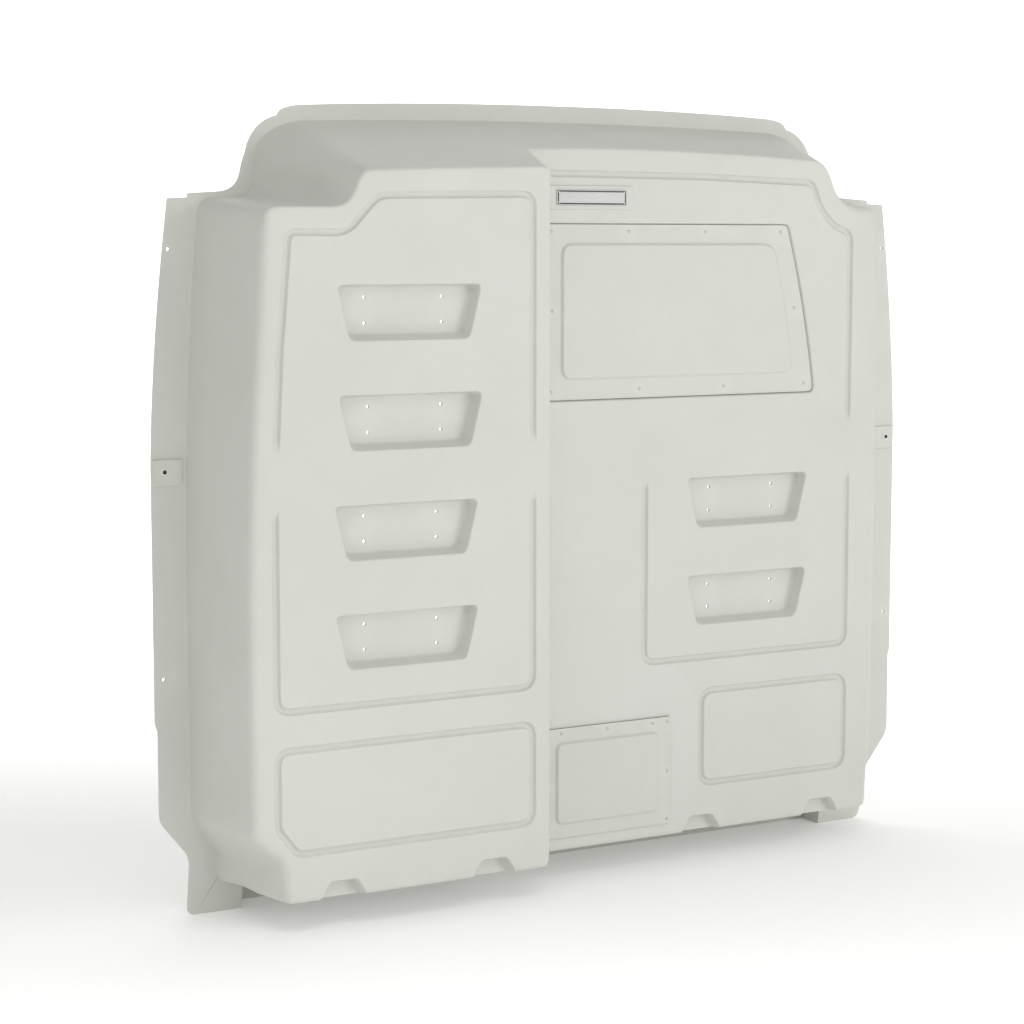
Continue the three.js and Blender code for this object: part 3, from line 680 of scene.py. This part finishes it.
def cut_notches(sheet):
    """Sinks the notches into the lines that are there, and adds their own lines."""
    points = np.array(sheet.points)
    for x, face in NOTCHES:
        beside = (np.abs(points[:, 0] - x) < NOTCH_REACH) & (points[:, 2] < NOTCH_TOP_Z)
        near = beside & (points[:, 1] < face + NOTCH["depth"])
        depth = face + notch_depth(points[near][:, [0, 2]], x)
        points[near, 1] = np.maximum(points[near, 1], depth)
    sheet.points = list(points)
    for x, face in NOTCHES:
        for grow, depth in NOTCH_SECTION:
            shape = notch_shape(x, grow)
            plain = foot_depth(shape[:, 1], face)
            sheet.line(at_depth(shape, np.maximum(plain, face + depth)), False)


def foot_depth(z, face):
    """The depth of the plain surface above the ledge, across the rounded lower edge."""
    low = ledge_z(face)
    edge = np.array([[0, face, low]])
    lines = rounded_edge(edge, np.array([[0, 1.0, 0]]), np.array([[0, 0, 1.0]]), EDGE_FOOT, 6)
    levels = np.array([line[0] for line in lines])
    levels[0, 2] = ledge_z(levels[0, 1])
    return np.interp(z, [FLOOR_Z, *levels[:, 2]], [SILL_Y, *levels[:, 1]])


def between_lines(x, z):
    """The depth where two lines cross, which happens only at the notches' feet."""
    for notch_x, face in NOTCHES:
        if abs(x - notch_x) < NOTCH_REACH and z < NOTCH_TOP_Z:
            plain = float(foot_depth(z, face))
            return max(plain, face + float(notch_depth(np.array([[x, z]]), notch_x)[0]))
    return SHALLOW_Y


# ------------------------------------------------------------------ covers, fasteners and badge
def cover_sheet(border, field, front, raise_by, fasteners):
    sheet = Sheet(border, front + COVER_EDGE[0][1])
    for inwards, back in COVER_EDGE[1:]:
        sheet.line(at_depth(inset(border, inwards), front + back))
    sheet.raised(field, front, raise_by * FIELD_SLOPE, raise_by, *FIELD_ROUNDING)
    for x, z in fasteners:
        sheet.hole(circle(x, z, RIVET_HOLE, RIVET_HOLE_SIDES), front)
    return sheet


def revolved(name, profile, place, sides=28):
    """A round piece about the Y axis through a place. Its profile, [radius, y] from front to back, starts and
    ends on the axis."""
    x, y, z = place
    verts, faces, rings = [], [], []
    for radius, depth in profile:
        first = len(verts)
        if radius == 0:
            verts.append((x, y + depth, z))
            rings.append([first])
            continue
        turn = np.arange(sides) * 2 * math.pi / sides
        verts += [(x + radius * math.cos(t), y + depth, z + radius * math.sin(t)) for t in turn]
        rings.append(list(range(first, first + sides)))
    for a, b in zip(rings, rings[1:]):
        for i in range(sides):
            j = (i + 1) % sides
            corners = [a[i % len(a)], a[j % len(a)], b[j % len(b)], b[i % len(b)]]
            faces.append(list(dict.fromkeys(corners)))
    obj = new_object(name, verts, faces)
    outward_faces(obj)
    shade(obj, 40)
    return obj


def outward_faces(obj):
    bm = bmesh.new()
    bm.from_mesh(obj.data)
    bmesh.ops.remove_doubles(bm, verts=bm.verts, dist=1e-7)
    bmesh.ops.recalc_face_normals(bm, faces=bm.faces)
    bm.to_mesh(obj.data)
    bm.free()


def dome(radius, height, count=7):
    """The front of a domed head, from its mandrel recess to its rim."""
    turn = np.linspace(0.32, 1, count) * math.pi / 2
    return [(radius * math.sin(t), -height * (0.25 + 0.75 * math.cos(t))) for t in turn]


def rivet(name, place, grip):
    """A blind rivet: domed head, broken mandrel in its recess, shank, and the bulb behind the stack."""
    head, shank, behind = RIVET_HEAD, RIVET_SHANK, grip + GAP
    profile = [(0, -0.75), (0.85, -0.75), (0.95, -0.55), (1.05, -0.6), *dome(head, 1.55), (head, -0.28),
               (head - 0.15, -GAP), (shank, -GAP), (shank, behind), (2.2, behind + 0.1), (2.6, behind + 0.7),
               (2.5, behind + 2.2), (1.9, behind + 3.2), (1.2, behind + 3.8), (0, behind + 3.9)]
    return revolved(name, profile, place)


def dress(obj, node, material):
    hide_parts(node)
    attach(obj, "root")
    obj.data.materials.clear()
    obj.data.materials.append(material)
    return obj


def badge_outline():
    """The finished plate's outline, and the depth of its front."""
    plate = rounded_rectangle(BADGE["x"], BADGE["z"], BADGE["width"] - BADGE_TRIM,
                              BADGE["height"] - BADGE_TRIM, BADGE["corner"], 4)
    return plate, SHALLOW_Y - BADGE_PAD["raise"] - GAP - BADGE["thickness"]


def badge_sheet():
    """The plate, with a rounded rim and a shallow track for the printed line."""
    plate, front = badge_outline()
    sheet = Sheet(plate, front + 0.45)
    start, end = BADGE_BORDER
    track = ((start - 0.3, 0.0), (start, 0.25), (end, 0.25), (end + 0.3, 0.0))
    for inwards, back in ((0.15, 0.15), (0.5, 0.0), *track):
        sheet.line(at_depth(inset(plate, inwards), front + back))
    return sheet


def badge_border():
    """The thin printed line inside the plate's edge."""
    plate, front = badge_outline()
    start, end = BADGE_BORDER
    sheet = Sheet(inset(plate, start), front + 0.12)
    sheet.hole(inset(plate, end), front + 0.12)
    return sheet


def screw(name, place):
    """A socket button screw with a pointed end."""
    head, shank, length = SIDE_SCREW["head"], SIDE_SCREW["shank"], SIDE_SCREW["length"]
    turn = np.linspace(0.45, 1, 6) * math.pi / 2
    crown = [(head * math.sin(t), -0.5 - 1.7 * math.cos(t)) for t in turn]
    socket = [(0, -0.7), (1.3, -0.7), (1.45, -0.8), (1.5, -1.9), (1.7, -2.05)]
    thread = [(shank - 0.25 * (i % 2), i) for i in range(1, length - 4)]
    tip = [(1.0, length - 1.5), (0, length)]
    return revolved(name, [*socket, *crown, (head, 0), (shank, 0), *thread, *tip], place)


def washer(name, place):
    rim = [(5.6, -WASHER_HEIGHT), (6.1, -1.05), (6.4, -0.7), (6.5, -0.3), (6.45, 0)]
    return revolved(name, [(0, -WASHER_HEIGHT), *rim, (0, 0)], place)


# ------------------------------------------------------------------ materials
class Nodes:
    """A short way to build a material's node tree."""

    def __init__(self, name):
        self.material = bpy.data.materials.new(name)
        self.material.use_nodes = True
        self.tree = self.material.node_tree
        self.shader = self.tree.nodes["Principled BSDF"]
        self.place = self.add("ShaderNodeTexCoord").outputs["Object"]

    def add(self, kind, inputs=(), **settings):
        node = self.tree.nodes.new(kind)
        for key, value in settings.items():
            setattr(node, key, value)
        for key, value in dict(inputs).items():
            self.feed(node.inputs[key], value)
        return node

    def feed(self, socket, value):
        if isinstance(value, bpy.types.NodeSocket):
            self.tree.links.new(value, socket)
        else:
            socket.default_value = value

    def noise(self, scale, detail=2.0, rough=0.5, stretch=None):
        place = self.place
        if stretch:
            place = self.add("ShaderNodeMapping", {"Vector": place, "Scale": stretch}).outputs[0]
        inputs = {"Vector": place, "Scale": scale, "Detail": detail, "Roughness": rough}
        return self.add("ShaderNodeTexNoise", inputs).outputs["Fac"]

    def spread(self, value, low, high, to_low, to_high):
        return self.add("ShaderNodeMapRange", {"Value": value, "From Min": low, "From Max": high,
                                               "To Min": to_low, "To Max": to_high}).outputs[0]

    def mix(self, share, a, b):
        node = self.add("ShaderNodeMix", data_type="RGBA")
        self.feed(node.inputs[0], share)
        self.feed(node.inputs[6], a)
        self.feed(node.inputs[7], b)
        return node.outputs[2]

    def bump(self, height, strength, distance, under=None):
        inputs = {"Height": height, "Strength": strength, "Distance": distance}
        if under:
            inputs["Normal"] = under
        return self.add("ShaderNodeBump", inputs).outputs[0]

    def finish(self, color, roughness, normal=None, **uniform):
        self.feed(self.shader.inputs["Base Color"], color)
        self.feed(self.shader.inputs["Roughness"], roughness)
        if normal:
            self.feed(self.shader.inputs["Normal"], normal)
        for key, value in uniform.items():
            self.shader.inputs[key.replace("_", " ")].default_value = value
        return self.material


def grey(level, warm=0.0):
    """A light grey with a little yellow in it."""
    return (level, level * (1 + 0.25 * warm), level * (1 - warm), 1.0)


def moulded_plastic(name, level, warm, grain=1.0):
    """Moulded composite: fine grain, faint flow mottle, a painted highlight on the convex edges and painted
    shade in the hollows.
    """
    m = Nodes(name)
    mottle = m.noise(5.5, 4.0, 0.6)
    cloud = m.noise(38.0, 3.0, 0.55)
    speck = m.noise(520.0, 2.0, 0.6)
    color = m.mix(m.spread(mottle, 0.3, 0.7, 0.0, 1.0), grey(level * 0.965, warm * 1.15),
                  grey(level * 1.02, warm))
    color = m.mix(m.spread(cloud, 0.42, 0.62, 0.0, 0.35), color, grey(level * 0.985, warm * 1.3))
    color = m.mix(m.spread(speck, 0.60, 0.74, 0.0, 0.22), color, grey(level * 0.80, warm * 1.4))
    point = m.add("ShaderNodeNewGeometry").outputs["Pointiness"]
    # Paler on the convex edges: a painted highlight.
    edge_highlight = m.spread(point, 0.515, 0.56, 0.0, 0.45)
    color = m.mix(edge_highlight, color, grey(min(1.0, level * 1.06), warm * 0.8))
    # Darker in the hollows, grooves and creases: painted shade.
    hollow_shade = m.spread(point, 0.485, 0.44, 0.0, 0.30)
    color = m.mix(hollow_shade, color, grey(level * 0.72, warm * 2.0))
    cells = m.add("ShaderNodeTexVoronoi", {"Vector": m.place, "Scale": 420.0}, feature="SMOOTH_F1")
    fine = m.noise(1100.0, 2.0, 0.6)
    wave = m.noise(9.0, 2.0, 0.5)
    normal = m.bump(wave, 0.10, 0.004)
    normal = m.bump(cells.outputs["Distance"], 0.30 * grain, 0.0005, normal)
    normal = m.bump(fine, 0.22 * grain, 0.0003, normal)
    rough = m.spread(m.noise(14.0, 4.0, 0.6), 0.3, 0.7, 0.50, 0.60)
    return m.finish(color, rough, normal, IOR=1.47)


def painted_rivet():
    m = Nodes("rivet_paint")
    chips = m.noise(900.0, 3.0, 0.65)
    point = m.add("ShaderNodeNewGeometry").outputs["Pointiness"]
    color = m.mix(m.spread(chips, 0.35, 0.65, 0.0, 1.0), grey(0.50, 0.03), grey(0.62, 0.03))
    # Paler on the head's rounded edges: a painted highlight.
    color = m.mix(m.spread(point, 0.52, 0.60, 0.0, 0.6), color, grey(0.74, 0.02))
    # Near black in the mandrel recess and other hollows: painted shade.
    color = m.mix(m.spread(point, 0.48, 0.42, 0.0, 0.85), color, grey(0.10, 0.02))
    return m.finish(color, m.spread(chips, 0.3, 0.7, 0.30, 0.46), m.bump(chips, 0.2, 0.0002), Metallic=0.35)


def seal_rubber():
    m = Nodes("seal_rubber")
    cell = m.noise(700.0, 3.0, 0.6)
    color = m.mix(m.spread(cell, 0.35, 0.65, 0.0, 1.0), grey(0.020), grey(0.040))
    return m.finish(color, m.spread(cell, 0.3, 0.7, 0.78, 0.92), m.bump(cell, 0.5, 0.0004))


def brushed_plate():
    """Brushed aluminium with strokes along X."""
    m = Nodes("badge_aluminium")
    stroke = m.noise(60.0, 5.0, 0.7, (1.0, 40.0, 40.0))
    cloud = m.noise(45.0, 3.0, 0.6)
    color = m.mix(m.spread(stroke, 0.3, 0.7, 0.0, 1.0), grey(0.44, 0.01), grey(0.56, 0.01))
    color = m.mix(m.spread(cloud, 0.45, 0.7, 0.0, 0.3), color, grey(0.38, 0.01))
    rough = m.spread(stroke, 0.3, 0.7, 0.34, 0.50)
    return m.finish(color, rough, m.bump(stroke, 0.25, 0.0002), Metallic=0.2)


def dark_print():
    m = Nodes("badge_border_print")
    patch = m.noise(320.0, 3.0, 0.6)
    color = m.mix(m.spread(patch, 0.35, 0.7, 0.0, 1.0), grey(0.035), grey(0.065))
    return m.finish(color, m.spread(patch, 0.3, 0.7, 0.40, 0.55), m.bump(patch, 0.2, 0.0001))


def black_steel():
    m = Nodes("screw_black_steel")
    patch = m.noise(700.0, 4.0, 0.65)
    point = m.add("ShaderNodeNewGeometry").outputs["Pointiness"]
    color = m.mix(m.spread(patch, 0.35, 0.65, 0.0, 1.0), grey(0.020), grey(0.045))
    # Paler on the screw's convex edges: a painted highlight.
    color = m.mix(m.spread(point, 0.53, 0.62, 0.0, 0.6), color, grey(0.20))
    return m.finish(color, m.spread(patch, 0.3, 0.7, 0.32, 0.48), m.bump(patch, 0.25, 0.0002), Metallic=0.7)


SHELL_PLASTIC = moulded_plastic("shell_plastic", 0.635, 0.055)
COVER_PLASTIC = moulded_plastic("cover_plastic", 0.63, 0.060, 0.8)
WASHER_PLASTIC = moulded_plastic("washer_plastic", 0.80, 0.040, 0.5)
RIVET_PAINT, SEAL, PLATE = painted_rivet(), seal_rubber(), brushed_plate()
PRINT, STEEL = dark_print(), black_steel()

# ------------------------------------------------------------------ the pieces
dress(sheet_object("shell_moulding", shell_sheet(), WALL, between_lines), "bulkhead_shell",
      SHELL_PLASTIC)

seat = SHALLOW_Y + WINDOW["recess"]
window_front = seat - 2 * GAP - WINDOW["gasket"] - WINDOW["sheet"]
window_border = inset(soften(closed_outline(WINDOW_OUTLINE), 1), WINDOW["clear"])
window_field = soften(closed_outline(WINDOW_FIELD, 6), 1)
window_sheet = cover_sheet(window_border, window_field, window_front, WINDOW["raise"], WINDOW_RIVETS)
dress(sheet_object("window_cover_sheet", window_sheet, WINDOW["sheet"]),
      "window_cover", COVER_PLASTIC)

access_front = SHALLOW_Y - 2 * GAP - ACCESS["gasket"] - ACCESS["sheet"]
access_border = rounded_rectangle(*(ACCESS[k] for k in ("x", "z", "width", "height", "corner")))
access_field = rounded_rectangle(ACCESS["x"], ACCESS["z"], ACCESS_FIELD["width"], ACCESS_FIELD["height"],
                                 ACCESS_FIELD["corner"], 6)
access_sheet = cover_sheet(access_border, access_field, access_front, ACCESS["raise"], ACCESS_RIVETS)
dress(sheet_object("access_cover_sheet", access_sheet, ACCESS["sheet"]),
      "access_cover", COVER_PLASTIC)

for prefix, places, front, behind in (("window", WINDOW_RIVETS, window_front, seat + WALL),
                                      ("access", ACCESS_RIVETS, access_front, SHALLOW_Y + WALL)):
    for i, (x, z) in enumerate(places, 1):
        node = f"{prefix}_rivet_{i:02d}"
        dress(rivet(f"{node}_turned", (x, front, z), behind - front), node, RIVET_PAINT)
    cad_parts[f"{prefix}_gasket"].data.materials.clear()
    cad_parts[f"{prefix}_gasket"].data.materials.append(SEAL)

dress(sheet_object("badge_blank", badge_sheet(), 0.7), "badge_plate", PLATE)
border = sheet_object("badge_border_line", badge_border(), 0.1)
border.data.materials.append(PRINT)
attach(border, "root")
for side, sign in (("left", -1), ("right", 1)):
    place = (sign * SIDE_SCREW["x"], -SIDE_PAD["raise"] - GAP, SIDE_SCREW["z"])
    dress(washer(f"side_washer_{side}_moulded", place), f"side_washer_{side}",
          WASHER_PLASTIC)
    place = (place[0], place[1] - WASHER_HEIGHT - GAP, place[2])
    dress(screw(f"side_screw_{side}_turned", place), f"side_screw_{side}", STEEL)


# ------------------------------------------------------------------ floor, light and camera
CAMERA_PLACE, CAMERA_DOWN, CAMERA_TURN = (-2.2987, -3.8001, 1.1787), 6.36, 29.72
SENSOR_MM, LENS_MM = 36.0, 84.73
DAYLIGHT, DAYLIGHT_STRENGTH = (1.0, 0.99, 0.975, 1.0), 0.56
# name, place, what it points at, diameter and power, in metres and watts
LIGHTS = [
    ("key", (3.4, -4.9, 1.7), (0, 0, 0.9), 3.0, 82),
    ("fill", (-1.2, -2.8, 3.3), (-0.3, 0, 1.2), 2.0, 15),
    ("floor_wash", (-0.9, -1.6, 2.4), (-2.0, -4.4, 0.0), 2.4, 60),
    ("back_wash", (0.5, 3.2, 4.6), (4.5, 8.0, 1.0), 3.0, 420),
]
SWEEP = {"half_width": 16.0, "near": -9.0, "far": 6.0, "radius": 3.0, "top": 12.0}


def backdrop():
    """A pale floor that sweeps up into a wall behind the part."""
    far, radius = SWEEP["far"], SWEEP["radius"]
    profile = [(SWEEP["near"], 0.0), (far, 0.0)]
    turn = np.linspace(0, math.pi / 2, 24)[1:]
    profile += [(far + radius * math.sin(t), radius - radius * math.cos(t)) for t in turn]
    profile.append((far + radius, SWEEP["top"]))
    verts = [(x, y, z) for x in (-SWEEP["half_width"], SWEEP["half_width"]) for y, z in profile]
    count = len(profile)
    faces = [(i, i + 1, count + i + 1, count + i) for i in range(count - 1)]
    mesh = bpy.data.meshes.new("studio_sweep")
    mesh.from_pydata(verts, [], faces)
    mesh.polygons.foreach_set("use_smooth", [True] * len(mesh.polygons))
    obj = bpy.data.objects.new("studio_sweep", mesh)
    obj.rotation_euler[2] = math.radians(-CAMERA_TURN)
    bpy.context.collection.objects.link(obj)
    m = Nodes("studio_paper")
    fibre = m.noise(30.0, 4.0, 0.6)
    paper = m.mix(m.spread(fibre, 0.3, 0.7, 0.0, 1.0), grey(0.93), grey(0.95))
    mesh.materials.append(m.finish(paper, 0.9, Emission_Strength=0.16))


def area_light(name, place, target, size, power):
    light = bpy.data.lights.new(name, "AREA")
    light.shape, light.size, light.energy = "DISK", size, power
    obj = bpy.data.objects.new(name, light)
    obj.location = place
    obj.rotation_euler = (Vector(target) - Vector(place)).to_track_quat("-Z", "Y").to_euler()
    bpy.context.collection.objects.link(obj)


backdrop()
for light in LIGHTS:
    area_light(*light)

world = bpy.data.worlds.new("studio")
world.use_nodes = True
world.node_tree.nodes["Background"].inputs["Color"].default_value = DAYLIGHT
world.node_tree.nodes["Background"].inputs["Strength"].default_value = DAYLIGHT_STRENGTH
bpy.context.scene.world = world
bpy.context.scene.view_settings.view_transform = "Standard"

camera = bpy.data.objects.new("camera", bpy.data.cameras.new("camera"))
camera.data.sensor_width, camera.data.lens = SENSOR_MM, LENS_MM
camera.location = CAMERA_PLACE
camera.rotation_euler = (math.radians(90 - CAMERA_DOWN), 0, math.radians(-CAMERA_TURN))
bpy.context.collection.objects.link(camera)
bpy.context.scene.camera = camera
